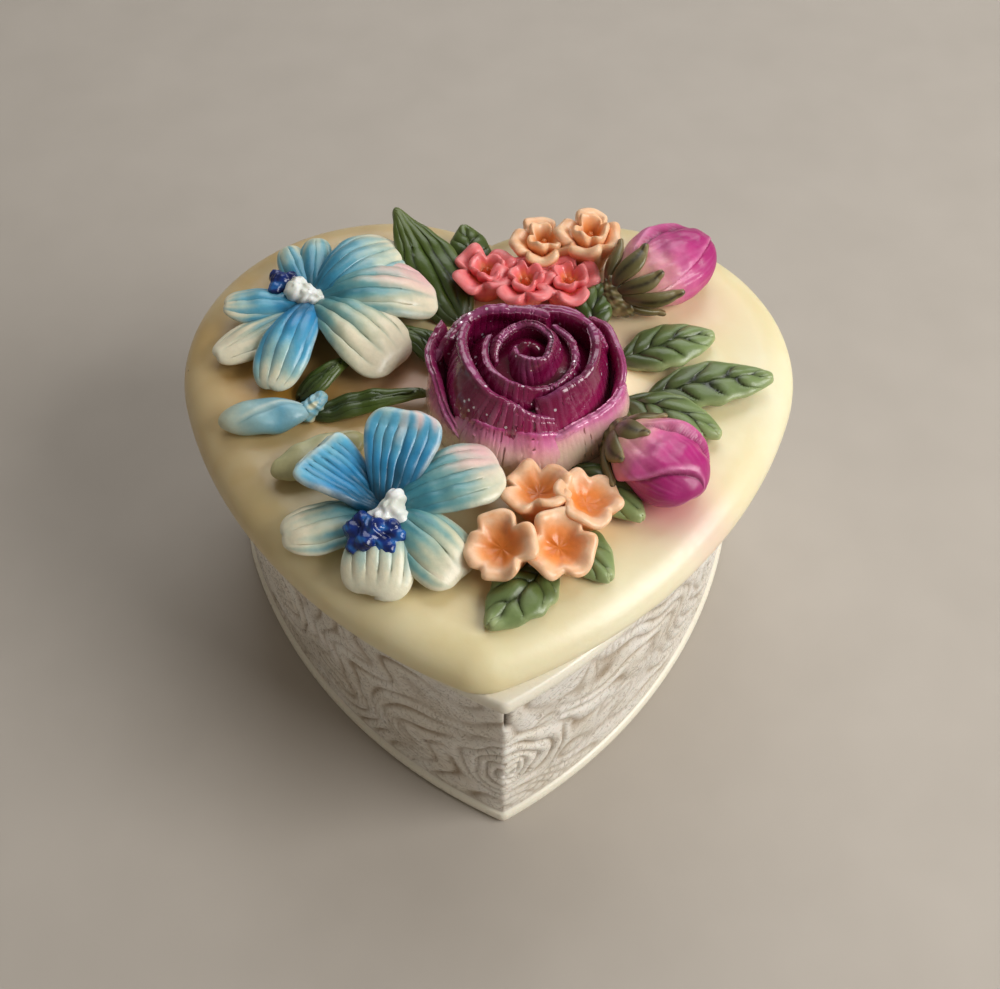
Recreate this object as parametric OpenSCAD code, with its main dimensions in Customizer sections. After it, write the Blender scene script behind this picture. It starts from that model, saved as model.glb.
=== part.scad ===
// Heart-shaped trinket box: a heart cup with a loose lid that carries a posy of flowers,
// buds and leaves. Origin at the middle of the underside, +Z up, the heart's tip to -Y.

/* [Box body] */
// height of the body from underside to mouth
body_h = 32; // [20:0.5:60]
// widest width of the wall's outline
body_w = 67; // [40:0.5:120]
// radius of the body's two round lobes
body_lobe_r = 19.7; // [10:0.1:30]
// radius of the body's long side curves
body_side_r = 66; // [40:1:120]
// direction where a body lobe runs into its side curve
body_side_dir = -16.5; // [-40:0.5:0]
// wall thickness
wall_t = 3; // [2:0.1:6]
// floor thickness
floor_t = 3.5; // [2:0.1:8]
// how far the rim round the mouth stands out from the wall
rim_out = 0.8; // [0.3:0.1:2]
// how far the base rim stands out from the wall
base_rim_out = 0.6; // [0.3:0.1:2]
// height of the plain rim round the base
base_rim_h = 1.9; // [1:0.1:4]
// height of the plain rim round the mouth
top_rim_h = 2.3; // [1:0.1:4]

/* [Lid] */
// widest width of the lid
lid_w = 75; // [45:0.5:130]
// thickness of the lid slab
lid_t = 4.6; // [2:0.1:8]
// radius of the lid's two round lobes
lid_lobe_r = 24.4; // [10:0.1:35]
// radius of the lid's long side curves
lid_side_r = 61; // [40:1:120]
// direction where a lid lobe runs into its side curve
lid_side_dir = -18.5; // [-40:0.5:0]
// radius of the lid's rounded tip
lid_tip_r = 6; // [1:0.5:12]
// how far the loose lid sits turned on the box, in degrees
lid_turn = -3.5; // [-4:0.5:4]
// gap between the lid's underside and the mouth
seat_gap = 0.05; // [0:0.01:0.2]
// depth of the locating lip under the lid
lip_h = 2.6; // [1:0.1:5]
// thickness of the lip
lip_t = 2.2; // [1:0.1:4]
// gap between the lip and the inside of the wall
lip_gap = 2.1; // [0.3:0.1:4]

/* [Flowers] */
// thickness of a petal
petal_t = 1.2; // [0.6:0.1:2]
// thickness of a leaf
leaf_t = 1.1; // [0.6:0.1:2]
// how deep flowers and leaves sit in the lid's top
sink = 0.5; // [0.1:0.1:1]
// height of the big rose above the lid
rose_h = 11.6; // [5:0.1:15]
// radius of the big rose at its foot
rose_r = 10.6; // [6:0.1:15]
// radius of a trumpet blossom's mouth
trumpet_r = 3.1; // [1.5:0.1:5]
// height of a trumpet blossom
trumpet_h = 4.4; // [2:0.1:7]
// radius of a blossom in the back cluster
blossom_r = 3.2; // [1.5:0.1:5]
// petals of the front lily: direction, length, width, rise of the tip
front_petals = [
  [82, 9, 8, 4.2],
  [146, 9, 7, 2.8],
  [194, 11, 5.5, 0.8],
  [263, 10.5, 7.5, 1.2],
  [318, 10.5, 6.5, 1.4],
  [22, 13, 7.5, 2.8]];
// petals of the back lily: direction, length, width, rise of the tip
back_petals = [
  [46, 14, 8, 3],
  [8, 14, 8, 2.4],
  [-40, 13.5, 8, 1.4],
  [253, 13, 6.5, 1.6],
  [216, 13.5, 5, 0.4],
  [182, 10.5, 4.5, 1.2],
  [112, 11.5, 4, 2.2],
  [94, 11, 4, 3]];

/* [Hidden] */

ivory = [0.86, 0.8, 0.62];
antiqued = [0.72, 0.68, 0.6];
magenta = [0.42, 0.08, 0.3];
bud_pink = [0.72, 0.25, 0.5];
sky = [0.45, 0.65, 0.75];
royal = [0.05, 0.13, 0.4];
chalk = [0.88, 0.88, 0.85];
cream = [0.8, 0.8, 0.62];
leaf_green = [0.28, 0.34, 0.2];
peach = [0.9, 0.6, 0.42];
blossom_pink = [0.88, 0.5, 0.5];

lobe_y = 10;
lid_z = body_h + seat_gap;
lid_top = lid_z + lid_t;
lid_pivot = [0, 5];
cavity_in = -wall_t;
lip_in = cavity_in - lip_gap;
sharp_tip_r = 0.6;
cavity_tip_r = 4;
step = 0.5;
rose_base_h = 1.3;
rose_at = [4.7, 1];
front_lily_at = [-10.7, -15.5];
back_lily_at = [-21.1, 14.4];

// points of an arc from direction a0 to a1 round c
function arc(c, r, a0, a1, n) =
  [for (i = [0:n]) let (a = a0 + (a1 - a0) * i / n) [c[0] + r * cos(a), c[1] + r * sin(a)]];

// right half of a heart from its notch to its tip: lobe, side curve and rounded tip
function half_heart(w, lobe_r, side_r, side_dir, tip_r, grow) =
  let (
    lobe_c = [w / 2 - lobe_r, lobe_y],
    side_c = lobe_c - (side_r - lobe_r) * [cos(side_dir), sin(side_dir)],
    notch_dir = 180 - acos(min(1, lobe_c[0] / (lobe_r + grow))),
    tip_c = [0, side_c[1] - sqrt(pow(side_r - tip_r, 2) - pow(side_c[0], 2))],
    tip_dir = atan2(tip_c[1] - side_c[1], -side_c[0]))
  concat(
    arc(lobe_c, lobe_r + grow, notch_dir, side_dir + 4, 22),
    arc(side_c, side_r + grow, side_dir, tip_dir + 1.5, 12),
    arc(tip_c, tip_r + grow, tip_dir, -90, 4));

function heart(half) = concat(
  [for (i = [len(half) - 1:-1:0]) half[i]],
  [for (i = [1:len(half) - 2]) [-half[i][0], half[i][1]]]);

function body_outline(grow, tip_r) =
  heart(half_heart(body_w, body_lobe_r, body_side_r, body_side_dir, tip_r, grow));

function lid_outline(grow) =
  heart(half_heart(lid_w, lid_lobe_r, lid_side_r, lid_side_dir, lid_tip_r, grow));

function middle(loop) = [for (k = [0:2]) sum([for (p = loop) p[k]]) / len(loop)];

function sum(v, i = 0) = i == len(v) ? 0 : v[i] + sum(v, i + 1);

// closed solid through a list of loops with equal numbers of points
module skin(loops) {
  m = len(loops[0]);
  last = (len(loops) - 1) * m;
  start = len(loops) * m;
  walls = [for (i = [0:len(loops) - 2]) for (j = [0:m - 1])
    let (a = i * m + j, b = i * m + (j + 1) % m)
    each [[a, a + m, b + m], [a, b + m, b]]];
  caps = [for (j = [0:m - 1])
    let (k = (j + 1) % m)
    each [[start, j, k], [start + 1, last + k, last + j]]];
  ends = [middle(loops[0]), middle(loops[len(loops) - 1])];
  polyhedron(points = concat([for (loop = loops) each loop], ends), faces = concat(walls, caps));
}

function lift(outline, z) = [for (p = outline) [p[0], p[1], z]];

// cross-section of a petal or leaf at u along its length, widest at the share wide_at
function blade_loop(u, l, w, t, arch, fold, rise, wide_at) =
  let (
    bulge = max(0, sin(180 * pow(u, ln(0.5) / ln(wide_at)))),
    half_w = 0.35 + (w / 2 - 0.35) * pow(bulge, 0.75),
    spine = arch * sin(180 * u) + rise * u,
    sides = [[1, 0], [0.55, 0.5], [0, 0.5], [-0.55, 0.5], [-1, 0], [-0.55, -0.5], [0, -0.5], [0.55, -0.5]])
  [for (s = sides) [l * u, s[0] * half_w, spine + fold * abs(s[0]) * bulge + s[1] * t]];

module blade(length, width, thick, arch, fold, rise, wide_at) {
  skin([for (u = [0:0.125:1]) blade_loop(u, length, width, thick, arch, fold, rise, wide_at)]);
}

module leaf(length, width, rise = 1) {
  blade(length, width, leaf_t, 0.9, -0.3, rise, 0.42);
}

// one closed shell from overlapping petals; a size of 0 keeps each side's own length
module joined() {
  resize([0, 0, 0]) union() children();
}

function turn_between(a, b) = abs((a - b + 540) % 360 - 180);

// how far a flower reaches in direction a: the longest petal there, or the hub
function reach(a, petals, hub_r) = max([for (p = petals)
  let (half = atan(p[2] / (1.2 * p[1])), d = min(1, turn_between(a, p[0]) / half))
  hub_r + (p[1] - hub_r) * sqrt(cos(90 * d))]);

// how much the petal nearest to direction a rises
function rise_at(a, petals) =
  let (turns = [for (p = petals) turn_between(a, p[0])], near = min(turns))
  [for (i = [0:len(petals) - 1]) if (turns[i] == near) petals[i][3]][0];

// open flower or calyx as one closed sheet with a hub: out along the underside, back over the top
module star(petals, hub_r, thick, arch) {
  shares = [[0.12, 0], [0.5, 1], [0.96, 1], [1, 0.5], [0.96, 0], [0.75, 0], [0.5, 0], [0.25, 0], [0.08, 0]];
  skin([for (i = [0:len(shares) - 1]) let (f = shares[i][0]) [for (a = [0:5:355])
    let (
      r = f * reach(a, petals, hub_r),
      top = thick + 0.4 + arch * sin(170 * f) + rise_at(a, petals) * f)
    [r * cos(a), r * sin(a), i == 0 ? 0 : top - shares[i][1] * thick]]]);
}

module lily(petals) {
  star(petals, 2.4, petal_t, 1);
}

// place children on the lid's top, turned about +Z and raised
module on_lid(at, turn = 0, up = 0) {
  with_lid() translate([at[0], at[1], lid_top - sink + up]) rotate([0, 0, turn]) children();
}

module with_lid() {
  translate(lid_pivot) rotate([0, 0, lid_turn]) translate(-lid_pivot) children();
}

module bud(length, width, height) {
  skin([for (s = [[0.02, 0.25], [0.12, 0.72], [0.3, 0.98], [0.5, 1], [0.7, 0.82], [0.88, 0.5], [1, 0.12]])
    [for (a = [0:36:324]) [length * s[0], s[1] * width / 2 * cos(a), height / 2 + s[1] * height / 2 * sin(a)]]]);
}

// small faceted ball
module bead(r) {
  sphere(r = r, $fn = 10);
}

module calyx(sepals, length, width) {
  star([for (a = sepals) [a, length, width, 1.2]], 1.4, leaf_t, 1.6);
}

// lobed cup: outside wall up to the rim, then down the throat
module trumpet() {
  walls = [[0, 0.3, 0], [0.3, 0.4, 0.02], [0.62, 0.66, 0.06], [0.9, 0.98, 0.12], [1, 1, 0.14],
    [0.86, 0.78, 0.1], [0.6, 0.42, 0.04], [0.35, 0.15, 0]];
  skin([for (s = walls) [for (a = [0:15:345])
    let (r = trumpet_r * s[1] * (1 + s[2] * cos(5 * a)))
    [r * cos(a), r * sin(a), trumpet_h * s[0]]]]);
}

// closed blossom with five round lobes
module blossom(height) {
  walls = [[0, 0.5, 0], [0.25, 0.85, 0.05], [0.6, 1, 0.14], [0.85, 0.85, 0.18], [1, 0.5, 0.15], [0.8, 0.12, 0]];
  skin([for (s = walls) [for (a = [0:15:345])
    let (r = blossom_r * s[1] * (1 + s[2] * cos(5 * a)))
    [r * cos(a), r * sin(a), height * s[0]]]]);
}

// upright petal wrapped round the rose from direction a0 to a1
module wrapped_petal(a0, a1, foot_r, lean, height) {
  n = 12;
  skin([for (i = [0:n])
    let (
      u = i / n,
      a = a0 + (a1 - a0) * u,
      top = height * (1 - 0.45 * pow(abs(2 * u - 1), 3)),
      r = foot_r + 0.9 * u,
      side = [[0.5, 0, 0], [-0.5, 0, 0], [-0.5, 0.5, 0.5], [-0.4, 1, 0.92], [0, 1, 1], [0.4, 1, 0.92], [0.5, 0.5, 0.5]])
    [for (s = side) let (q = r + s[0] * petal_t + s[1] * lean) [q * cos(a), q * sin(a), s[2] * top]]]);
}

module box_body() color(antiqued) difference() {
  union() {
    linear_extrude(body_h) polygon(body_outline(0, sharp_tip_r));
    linear_extrude(base_rim_h) polygon(body_outline(base_rim_out - step, sharp_tip_r));
    translate([0, 0, step]) linear_extrude(base_rim_h - 2 * step) polygon(body_outline(base_rim_out, sharp_tip_r));
    translate([0, 0, body_h - top_rim_h]) linear_extrude(top_rim_h)
      polygon(body_outline(rim_out - step, sharp_tip_r));
    translate([0, 0, body_h - top_rim_h + step]) linear_extrude(top_rim_h - 2 * step)
      polygon(body_outline(rim_out, sharp_tip_r));
  }
  translate([0, 0, floor_t]) linear_extrude(body_h) polygon(body_outline(cavity_in, cavity_tip_r));
}

// one skin: inside of the lip, down and round it, out under the slab and over its soft edge
module lid_plate() color(ivory) with_lid() {
  edge = [[0, 0.9], [0.08, 0.3], [0.22, 0], [0.4, 0.1], [0.62, 0.7], [0.8, 1.6], [0.93, 2.9], [1, 5]];
  lip_inside = body_outline(lip_in - lip_t, cavity_tip_r);
  lip_outside = body_outline(lip_in, cavity_tip_r);
  skin(concat(
    [lift(lip_inside, lid_z), lift(lip_inside, lid_z - lip_h)],
    [lift(lip_outside, lid_z - lip_h), lift(lip_outside, lid_z)],
    [for (e = edge) lift(lid_outline(-e[1]), lid_z + e[0] * lid_t)]));
}

module rose_core() color(magenta) on_lid(rose_at) joined() {
  translate([0, 0, rose_base_h]) cylinder(r1 = 5.2, r2 = 3, h = 0.45 * rose_h, $fn = 24);
  skin([for (s = [[0.2, 0.5], [0.4, 0.85], [0.65, 1], [0.85, 0.95], [1, 0.78], [0.94, 0.5], [0.8, 0.12]])
    [for (a = [0:24:336]) [0.4 * rose_r * s[1] * cos(a), 0.4 * rose_r * s[1] * sin(a), rose_h * s[0]]]]);
}

module rose_middle_petals() color(magenta) on_lid(rose_at) joined() {
  translate([0, 0, rose_base_h])
    for (a = [30:120:270]) wrapped_petal(a, a + 150, 0.54 * rose_r, -0.2, 0.92 * rose_h - rose_base_h);
}

module rose_outer_petals() color(magenta) on_lid(rose_at) joined() {
  for (a = [10:72:298]) wrapped_petal(a, a + 100, 0.88 * rose_r, -2.2, 0.72 * rose_h);
  translate([0, 0, 0.13]) cylinder(r = 0.9 * rose_r, h = rose_base_h, $fn = 29);
}

module rose_bud_back() color(bud_pink) on_lid([16.2, 16.9], 38) bud(14.5, 10, 7.4);

module rose_bud_back_calyx() color(leaf_green) on_lid([14.6, 15.6], 38) calyx([-41, -4, 37], 6.5, 2.8);

module rose_bud_front() color(bud_pink) on_lid([15.6, -6.2], -44) bud(11.8, 10, 7);

module rose_bud_front_calyx() color(leaf_green) on_lid([14.6, -4.2], -44) calyx([-60, -15, 30, 150], 5, 2.6);

module lily_front_petals() color(sky) on_lid(front_lily_at) lily(front_petals);

module lily_front_pistil() color(chalk) on_lid(front_lily_at + [-1.9, -1], 35, 2) joined() {
  bud(4.8, 3.2, 3);
  translate([2.6, 0.8, 1.8]) bead(r = 1.1);
}

module lily_front_stamens() color(royal) on_lid(front_lily_at + [-2.6, -2.4], 0, 2.9) joined() {
  bead(r = 1.3);
  for (a = [0:60:300]) rotate([0, 0, a]) translate([1.4, 0, 0.2 * cos(3 * a)]) bead(r = 0.85);
}

module lily_back_petals() color(sky) on_lid(back_lily_at) lily(back_petals);

module lily_back_pistil() color(chalk) on_lid(back_lily_at + [1.6, -0.4], 155, 1.4) joined() {
  rotate([0, -12, 0]) bud(6.4, 2.8, 2.8);
  translate([3, 0.8, 2.2]) bead(r = 1);
}

module lily_back_stamens() color(royal) on_lid(back_lily_at + [-4.6, 2.2], 0, 3) joined() {
  bead(r = 1);
  for (a = [20:120:260]) rotate([0, 0, a]) translate([1, 0, 0.2]) bead(r = 0.7);
}

module lily_bud_blue() color(sky) on_lid([-31, -3.2], 9) bud(10.5, 4.6, 3.4);

module lily_bud_blue_knob() color(sky) on_lid([-21.8, -1.8], 40) joined() {
  bud(3.8, 2.6, 2.8);
  translate([2.8, 0.2, 1.9]) bead(r = 0.9);
}

module lily_bud_cream() color(cream) on_lid([-24, -10.4], 28) bud(11.5, 4.8, 3);

module leaf_bud_upper() color(leaf_green) on_lid([-21.9, 1.2], 42, 1) leaf(6.8, 3.4);

module leaf_bud_long() color(leaf_green) on_lid([-19.8, -1], 12, 0.8) leaf(12, 3.8);

module leaf_rose_left() color(leaf_green) on_lid([-5, 7.2], 147, 1.6) leaf(7, 3.4);

module leaf_back_tall() color(leaf_green) on_lid([-3.8, 14.2], 118, 0.9) leaf(17.5, 7, 4);

module leaf_back_small() color(leaf_green) on_lid([-2.5, 23.8], 104, 1) leaf(5.4, 4.6, 1.4);

module leaf_rose_right() color(leaf_green) on_lid([12, 11.6], 74, 1.6) leaf(6.5, 4.2, 2);

module leaf_right_upper() color(leaf_green) on_lid([16.6, 6.8], 22, 1) leaf(11, 6.4);

module leaf_right_middle() color(leaf_green) on_lid([19.4, 1.7], 10, 1) leaf(14.6, 6.2);

module leaf_right_lower() color(leaf_green) on_lid([16.4, 1.2], -32, 0.9) leaf(11, 5.8);

module leaf_front_right() color(leaf_green) on_lid([10.1, -8.6], -46, 0.9) leaf(10.2, 5.8);

module leaf_front_small() color(leaf_green) on_lid([8.6, -17.2], -52, 0.8) leaf(8, 5.2, 0.4);

module leaf_front_tip() color(leaf_green) on_lid([6.8, -22.6], -133, 0.9) leaf(9.4, 6.6, 0.2);

module blossom_front_upper() color(peach) on_lid([6, -14.4]) rotate([-12, -8, 0]) trumpet();

module blossom_front_right() color(peach) on_lid([10, -15.9]) rotate([-8, 14, 0]) trumpet();

module blossom_front_left() color(peach) on_lid([2.6, -20.3]) rotate([14, -14, 0]) trumpet();

module blossom_front_lower() color(peach) on_lid([7.4, -20]) rotate([16, 8, 0]) trumpet();

module blossom_back_pink_left() color(blossom_pink) on_lid([-1, 21.4]) blossom(4.6);

module blossom_back_pink_middle() color(blossom_pink) on_lid([3.8, 19.4]) blossom(4.8);

module blossom_back_pink_right() color(blossom_pink) on_lid([9.2, 19.6]) blossom(4.6);

module blossom_back_orange_left() color(peach) on_lid([6.2, 24.8]) blossom(5.8);

module blossom_back_orange_right() color(peach) on_lid([11.8, 25.2]) blossom(5.6);

box_body();
lid_plate();
rose_core();
rose_middle_petals();
rose_outer_petals();
rose_bud_back();
rose_bud_back_calyx();
rose_bud_front();
rose_bud_front_calyx();
lily_front_petals();
lily_front_pistil();
lily_front_stamens();
lily_back_petals();
lily_back_pistil();
lily_back_stamens();
lily_bud_blue();
lily_bud_blue_knob();
lily_bud_cream();
leaf_bud_upper();
leaf_bud_long();
leaf_rose_left();
leaf_back_tall();
leaf_back_small();
leaf_rose_right();
leaf_right_upper();
leaf_right_middle();
leaf_right_lower();
leaf_front_right();
leaf_front_small();
leaf_front_tip();
blossom_front_upper();
blossom_front_right();
blossom_front_left();
blossom_front_lower();
blossom_back_pink_left();
blossom_back_pink_middle();
blossom_back_pink_right();
blossom_back_orange_left();
blossom_back_orange_right();
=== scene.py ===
"""Heart-shaped trinket box: cast resin body with a carved look, and a lid with a painted posy."""
import math

import bmesh
import bpy
import numpy as np
from mathutils import Matrix, Vector


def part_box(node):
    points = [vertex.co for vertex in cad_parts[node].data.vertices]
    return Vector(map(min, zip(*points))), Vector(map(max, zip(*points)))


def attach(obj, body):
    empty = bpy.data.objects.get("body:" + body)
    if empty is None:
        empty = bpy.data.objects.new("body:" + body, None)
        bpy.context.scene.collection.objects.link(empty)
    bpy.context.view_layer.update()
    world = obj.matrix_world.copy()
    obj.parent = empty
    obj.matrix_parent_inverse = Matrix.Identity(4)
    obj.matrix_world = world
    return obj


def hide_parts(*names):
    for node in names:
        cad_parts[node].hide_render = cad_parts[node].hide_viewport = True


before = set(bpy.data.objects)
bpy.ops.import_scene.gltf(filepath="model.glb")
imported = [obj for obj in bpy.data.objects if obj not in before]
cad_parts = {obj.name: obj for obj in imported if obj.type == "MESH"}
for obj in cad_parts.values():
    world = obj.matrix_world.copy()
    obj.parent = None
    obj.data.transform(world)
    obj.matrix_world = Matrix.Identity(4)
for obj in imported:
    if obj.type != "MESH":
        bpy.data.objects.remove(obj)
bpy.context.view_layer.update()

MM = 0.001
WAVES = 7               # sine waves summed in each random relief
WELD_WALL = 0.001       # finer weld, in mm, for the box and lid than for the posy

# The box body, in millimetres, as in part.scad
BODY_H = 32.0
BODY_W = 67.0
BODY_LOBE_R = 19.7
BODY_SIDE_R = 66.0
BODY_SIDE_DIR = -16.5
WALL_T = 3.0
FLOOR_T = 3.5
FLOOR_FILLET = 1.6
RIM_OUT = 0.8
BASE_RIM_OUT = 0.6
BASE_RIM_H = 1.9
TOP_RIM_H = 2.3
CAVITY_TIP_R = 4.0
SHARP_TIP_R = 0.6
CARVING_DEPTH = 0.42
PIT_DEPTH = 0.5
NICK_DEPTH = 0.55      # of the short groove under the top rim at the front corner
NICK_LOW = 24.6

# The lid, in millimetres
LID_W = 75.0
LID_T = 4.6
LID_LOBE_R = 24.4
LID_SIDE_R = 61.0
LID_SIDE_DIR = -18.5
LID_TIP_R = 6.0
LID_TURN = -3.5
LID_Z = BODY_H + 0.05
LID_TOP = LID_Z + LID_T
LID_PIVOT = (0.0, 5.0)
LIP_H = 2.6
LIP_T = 2.2
LIP_GAP = 2.1
LOBE_Y = 10.0
SINK = 0.5
EDGE_IN = 5.0           # how far in from its widest line the lid's soft edge begins
EDGE_LOW = 1.0          # height of that line above the lid's underside
EDGE_RISE = 3.6         # and from that line up to the top

# Points round the lobe, down the side and round the tip of half an outline
BODY_COUNTS = (230, 230, 6)
LID_COUNTS = (120, 110, 24)

# The wall's carved flowers: place along the wall from the front corner, height and radius
SCROLLS = ((0.9, 13.5, 9.0), (41.0, 17.0, 8.5), (-39.0, 15.5, 9.5), (78.0, 15.0, 9.0), (-76.0, 16.0, 8.5))

# The posy
ROSE_AT = (5.0, 1.8)
BUD_PEAK = 0.4837       # greatest value of a bud's plain width curve
GLITTER_MM = 0.5
SPECK_APART_MM = 5.5
GRAIN = (0.2, 0.8, 0.82, 1.08)      # fine noise from and to, and how far it darkens or lightens paint

# The stage, in metres and degrees
CAMERA_AT = (-0.00377, -0.09673, 0.15338)
CAMERA_LENS = 46.43
CAMERA_DOWN = 54.04     # below level
CAMERA_HEADING = -2.97
CAMERA_ROLL = 0.27
LAMP_TARGET = (0, 0, 0.03)
FLOOR_HALF = 1.5


# ---------------------------------------------------------------- shape tools

def wave(x, y, size, seed):
    """Smooth random relief between about -1 and 1, with bumps of about this size."""
    rng = np.random.default_rng(seed)
    total = np.zeros(np.broadcast(x, y).shape)
    for _ in range(WAVES):
        turn = rng.uniform(0, 2 * math.pi)
        freq = 2 * math.pi / size * rng.uniform(0.55, 1.5)
        total += np.sin((x * math.cos(turn) + y * math.sin(turn)) * freq + rng.uniform(0, 2 * math.pi))
    return total / math.sqrt(WAVES)


def ridge(value, centre, width):
    """A smooth bump of height 1 at centre."""
    return np.exp(-((value - centre) / width) ** 2)


def smooth(value, low, high):
    """0 below low, 1 above high, smooth between."""
    t = np.clip((value - low) / (high - low), 0, 1)
    return t * t * (3 - 2 * t)


def eased(n, power=1.0):
    """n numbers from 0 to 1, closer together near both ends."""
    t = np.linspace(0, 1, n)
    e = 0.5 - 0.5 * np.cos(np.pi * t)
    return t + (e - t) * power


def rounded(share, power):
    """1 inside, falling to 0 where the share reaches 1; a higher power keeps a thinner border."""
    return np.sqrt(np.clip(1 - share ** power, 0, 1))


def quads(nu, nv, base=0, flip=False, wrap=False):
    """Faces of a grid whose points are stored row by row."""
    last = nv if wrap else nv - 1
    i, j = np.meshgrid(np.arange(nu - 1), np.arange(last), indexing="ij")
    k = (j + 1) % nv
    a, b, c, d = i * nv + j, (i + 1) * nv + j, (i + 1) * nv + k, i * nv + k
    order = (a, d, c, b) if flip else (a, b, c, d)
    return (np.stack([o.ravel() for o in order], axis=1) + base).tolist()


def sheet(surface, thick, full, **fields):
    """A closed sheet about a grid of points; full is 0 at its rounded border and 1 inside."""
    nu, nv = surface.shape[:2]
    normal = np.cross(np.gradient(surface, axis=0), np.gradient(surface, axis=1))
    normal /= np.linalg.norm(normal, axis=2, keepdims=True) + 1e-12
    half = (np.broadcast_to(thick, (nu, nv)) / 2 * np.maximum(full, 0.04))[..., None]
    points = np.concatenate([(surface + normal * half * face).reshape(-1, 3) for face in (1, -1)])
    n = nu * nv
    faces = quads(nu, nv) + quads(nu, nv, base=n, flip=True)
    for side in (0, nv - 1):
        for i in range(nu - 1):
            a, b = i * nv + side, (i + 1) * nv + side
            faces.append([a, a + n, b + n, b] if side == 0 else [a, b, b + n, a + n])
    for end in (0, nu - 1):
        for j in range(nv - 1):
            a, b = end * nv + j, end * nv + j + 1
            faces.append([a, b, b + n, a + n] if end == 0 else [a, a + n, b + n, b])
    data = {k: np.tile(np.broadcast_to(v, (nu, nv)).ravel(), 2) for k, v in fields.items()}
    return {"points": points, "faces": faces, "fields": data}


def loops(rings, **fields):
    """A closed solid through rings of points, with a cap at each end."""
    nu, nv = rings.shape[:2]
    points = np.concatenate([rings.reshape(-1, 3), rings[0].mean(0)[None], rings[-1].mean(0)[None]])
    faces = quads(nu, nv, flip=True, wrap=True)
    for j in range(nv):
        k = (j + 1) % nv
        faces.append([nu * nv, k, j])
        faces.append([nu * nv + 1, (nu - 1) * nv + j, (nu - 1) * nv + k])
    data = {}
    for key, value in fields.items():
        value = np.broadcast_to(value, (nu, nv))
        data[key] = np.concatenate([value.ravel(), [value[0].mean(), value[-1].mean()]])
    return {"points": points, "faces": faces, "fields": data}


def merged(parts):
    """Several solids as one mesh."""
    points, faces, start = [], [], 0
    keys = sorted({k for p in parts for k in p["fields"]})
    data = {k: [] for k in keys}
    for p in parts:
        points.append(p["points"])
        faces += [[i + start for i in f] for f in p["faces"]]
        start += len(p["points"])
        for k in keys:
            data[k].append(p["fields"].get(k, np.zeros(len(p["points"]))))
    return {"points": np.concatenate(points), "faces": faces,
            "fields": {k: np.concatenate(v) for k, v in data.items()}}


def moved(part, at, turn=0.0, pitch=0.0, roll=0.0):
    """The part rolled about +X, pitched up about -Y, turned about +Z (degrees), then shifted."""
    m = (Matrix.Rotation(math.radians(turn), 3, "Z") @ Matrix.Rotation(math.radians(-pitch), 3, "Y")
         @ Matrix.Rotation(math.radians(roll), 3, "X"))
    return {**part, "points": part["points"] @ np.array(m).T + np.array(at, dtype=float)}


def on_lid(part, at, turn=0.0, up=0.0, pitch=0.0, roll=0.0):
    """The part placed on the lid's top, in the frame of the box."""
    part = moved(part, (at[0], at[1], LID_TOP - SINK + up), turn, pitch, roll)
    return with_lid(part)


def with_lid(part):
    """From the lid's own straight position to where it sits turned on the box."""
    shift = np.array([LID_PIVOT[0], LID_PIVOT[1], 0])
    m = np.array(Matrix.Rotation(math.radians(LID_TURN), 3, "Z"))
    return {**part, "points": (part["points"] - shift) @ m.T + shift}


def make(name, part, material, body, node, weld=0.004):
    """The part as a Blender object that rides on a body and stands for a CAD node."""
    mesh = bpy.data.meshes.new(name)
    mesh.from_pydata((part["points"] * MM).tolist(), [], part["faces"])
    for key, value in part["fields"].items():
        layer = mesh.attributes.new(key, "FLOAT", "POINT")
        layer.data.foreach_set("value", np.asarray(value, dtype=np.float32))
    bm = bmesh.new()
    bm.from_mesh(mesh)
    bmesh.ops.remove_doubles(bm, verts=bm.verts, dist=weld * MM)
    bmesh.ops.dissolve_degenerate(bm, edges=bm.edges, dist=weld * MM / 4)
    bmesh.ops.recalc_face_normals(bm, faces=bm.faces)
    bm.to_mesh(mesh)
    bm.free()
    mesh.shade_smooth()
    mesh.materials.append(material)
    obj = bpy.data.objects.new(name, mesh)
    bpy.context.scene.collection.objects.link(obj)
    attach(obj, body)
    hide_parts(node)


def seat(part, node, level=True, nudge=(0.0, 0.0)):
    """The part shifted so that its middle, and its foot if level, are where the CAD node's are."""
    low, high = (np.array(c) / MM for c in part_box(node))
    p_low, p_high = part["points"].min(0), part["points"].max(0)
    shift = (low + high - p_low - p_high) / 2
    shift[:2] += nudge
    shift[2] = low[2] - p_low[2] if level else 0.0
    return {**part, "points": part["points"] + shift}


# ---------------------------------------------------------------- materials

def colour(r, g, b):
    """A screen colour, 0 to 255, as the linear colour that a shader takes."""
    def linear(v):
        v /= 255
        return v / 12.92 if v <= 0.04045 else ((v + 0.055) / 1.055) ** 2.4
    return (linear(r), linear(g), linear(b), 1.0)


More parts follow.
